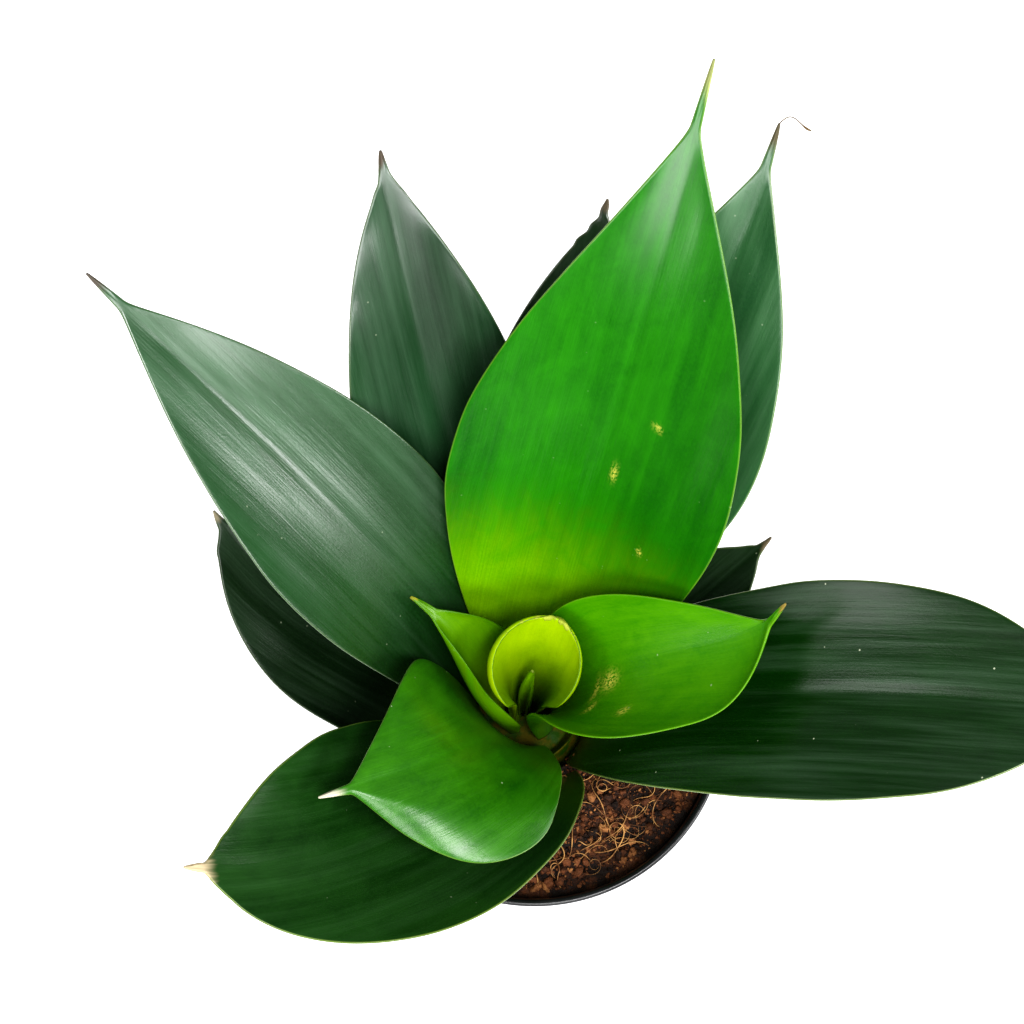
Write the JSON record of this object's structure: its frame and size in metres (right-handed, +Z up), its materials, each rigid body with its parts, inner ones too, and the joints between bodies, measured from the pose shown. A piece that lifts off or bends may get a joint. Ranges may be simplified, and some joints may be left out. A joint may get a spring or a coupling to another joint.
{
  "type": "potted snake plant",
  "caption": "Young snake plant with broad pointed green leaves in a round thin black plastic nursery pot.",
  "frame": {"origin": "middle of the flat underside of the pot base", "axes": "+Z up along the pot axis, -Y towards the side the picture was taken from, +X to the right in it"},
  "size_m": [0.2864, 0.221, 0.2845],
  "materials": {
    "pot": "satin black",
    "soil": "rough moist crumbs",
    "crown": "dull fleshy",
    "leaf_a": "smooth waxy",
    "leaf_b": "smooth waxy",
    "leaf_c": "smooth waxy",
    "leaf_d": "smooth waxy",
    "leaf_e": "smooth waxy",
    "leaf_f": "smooth waxy",
    "leaf_g": "smooth waxy",
    "leaf_h": "smooth waxy",
    "leaf_i": "smooth waxy",
    "leaf_j": "smooth waxy",
    "leaf_k": "smooth waxy",
    "leaf_l": "smooth waxy",
    "leaf_m": "smooth waxy",
    "leaf_n": "smooth waxy"
  },
  "bodies": {
    "root": {"pot": "pot", "soil": "soil", "crown": "crown", "leaf_a": "leaf_a", "leaf_b": "leaf_b", "leaf_c": "leaf_c", "leaf_d": "leaf_d", "leaf_e": "leaf_e", "leaf_f": "leaf_f", "leaf_g": "leaf_g", "leaf_h": "leaf_h", "leaf_i": "leaf_i", "leaf_j": "leaf_j", "leaf_k": "leaf_k", "leaf_l": "leaf_l", "leaf_m": "leaf_m", "leaf_n": "leaf_n"}
  },
  "joints": []
}
